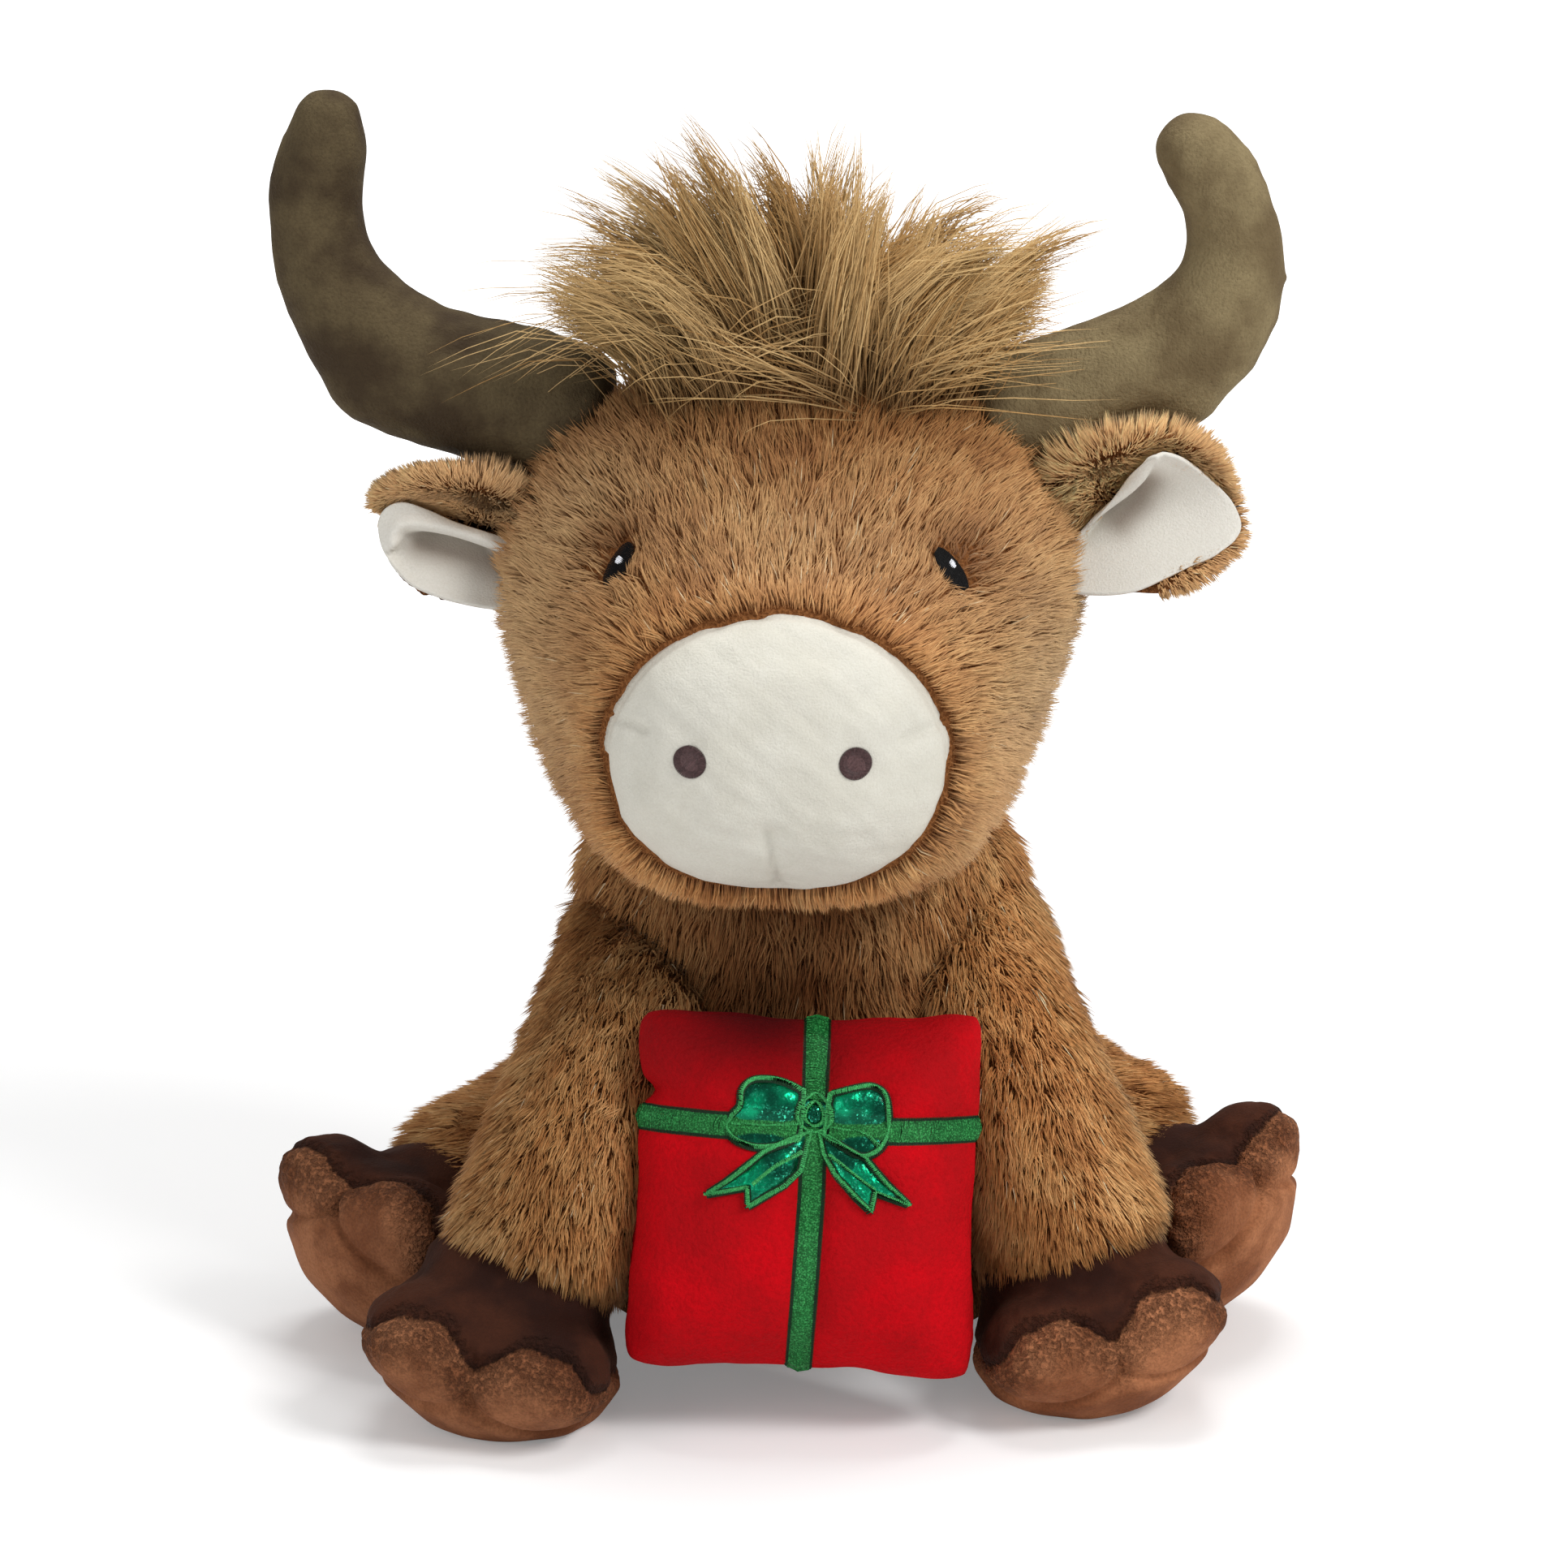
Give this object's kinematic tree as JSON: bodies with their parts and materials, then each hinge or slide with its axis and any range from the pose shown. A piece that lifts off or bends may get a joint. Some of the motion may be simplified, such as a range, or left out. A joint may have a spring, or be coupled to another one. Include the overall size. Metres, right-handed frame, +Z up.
{
  "type": "plush toy",
  "caption": "Seated plush highland cow with curled horns and a shaggy forelock, holding a stuffed red gift with a green bow",
  "frame": {"origin": "centre of the flat seat that it sits on", "axes": "+Z up, the cow faces -Y, +X is to the viewer's right"},
  "size_m": [0.2443, 0.1835, 0.2939],
  "materials": {
    "fur": "long tan-brown pile",
    "pale_fur": "long pale pile, brown at the roots",
    "filling": "polyester fibre",
    "linen": "plain woven pouch",
    "cream_velour": "short cream pile",
    "nostril_thread": "satin stitch",
    "black_thread": "satin stitch with a white glint",
    "horn_velour": "short olive-brown pile",
    "dark_velour": "short dark brown pile",
    "sole_velour": "short mid-brown pile",
    "red_velour": "short red pile",
    "green_thread": "satin stitch",
    "foil": "metallic green applique"
  },
  "bodies": {
    "torso": {"torso_skin": "fur", "torso_stuffing": "filling", "pellet_bag": "linen"},
    "head": {"head_skin": "fur", "head_stuffing": "filling", "muzzle_panel": "cream_velour", "nostril_left": "nostril_thread", "nostril_right": "nostril_thread", "eye_left": "black_thread", "eye_right": "black_thread", "forelock": "pale_fur", "horn_left": "horn_velour", "horn_right": "horn_velour"},
    "ear_left": {"ear_back_left": "fur", "ear_lining_left": "cream_velour"},
    "ear_right": {"ear_back_right": "fur", "ear_lining_right": "cream_velour"},
    "forelegs": {"foreleg_left": "fur", "foreleg_right": "fur", "fore_hoof_upper_left": "dark_velour", "fore_hoof_upper_right": "dark_velour", "fore_hoof_sole_left": "sole_velour", "fore_hoof_sole_right": "sole_velour", "gift_cushion": "red_velour", "ribbon_top": "green_thread", "ribbon_bottom": "green_thread", "ribbon_left": "green_thread", "ribbon_right": "green_thread", "bow_loop_left": "foil", "bow_loop_right": "foil", "bow_tail_left": "foil", "bow_tail_right": "foil", "bow_knot": "green_thread", "knot_gem": "foil"},
    "hind_leg_left": {"hind_leg_left": "fur", "hind_hoof_upper_left": "dark_velour", "hind_hoof_sole_left": "sole_velour"},
    "hind_leg_right": {"hind_leg_right": "fur", "hind_hoof_upper_right": "dark_velour", "hind_hoof_sole_right": "sole_velour"},
    "tail": {"tail": "fur", "tail_tuft": "pale_fur"}
  },
  "joints": [
    {"name": "head_nod", "type": "hinge", "parent": "torso", "child": "head", "pos_m": [0, 0.008, 0.104], "axis": [1, 0, 0], "range_deg": [-10, 6]},
    {"name": "forelegs_swing", "type": "hinge", "parent": "torso", "child": "forelegs", "pos_m": [0, 0.002, 0.098], "axis": [-1, 0, 0], "range_deg": [0, 15]},
    {"name": "hind_leg_left_spread", "type": "hinge", "parent": "torso", "child": "hind_leg_left", "pos_m": [-0.038, 0.026, 0.0375], "axis": [0, 0, -1], "range_deg": [0, 18]},
    {"name": "hind_leg_right_spread", "type": "hinge", "parent": "torso", "child": "hind_leg_right", "pos_m": [0.038, 0.026, 0.044], "axis": [0, 0, 1], "range_deg": [0, 18]},
    {"name": "ear_left_swing", "type": "hinge", "parent": "head", "child": "ear_left", "pos_m": [-0.0614, 0.0012, 0.19], "axis": [0, 0, 1], "range_deg": [-15, 20], "stiffness_Nm_per_rad": 0.01},
    {"name": "ear_right_swing", "type": "hinge", "parent": "head", "child": "ear_right", "pos_m": [0.0604, -0.0052, 0.195], "axis": [0, 0, -1], "range_deg": [-15, 20], "stiffness_Nm_per_rad": 0.01},
    {"name": "tail_lift", "type": "hinge", "parent": "torso", "child": "tail", "pos_m": [0.003, 0.0594, 0.056], "axis": [1, 0, 0], "range_deg": [0, 60]}
  ]
}
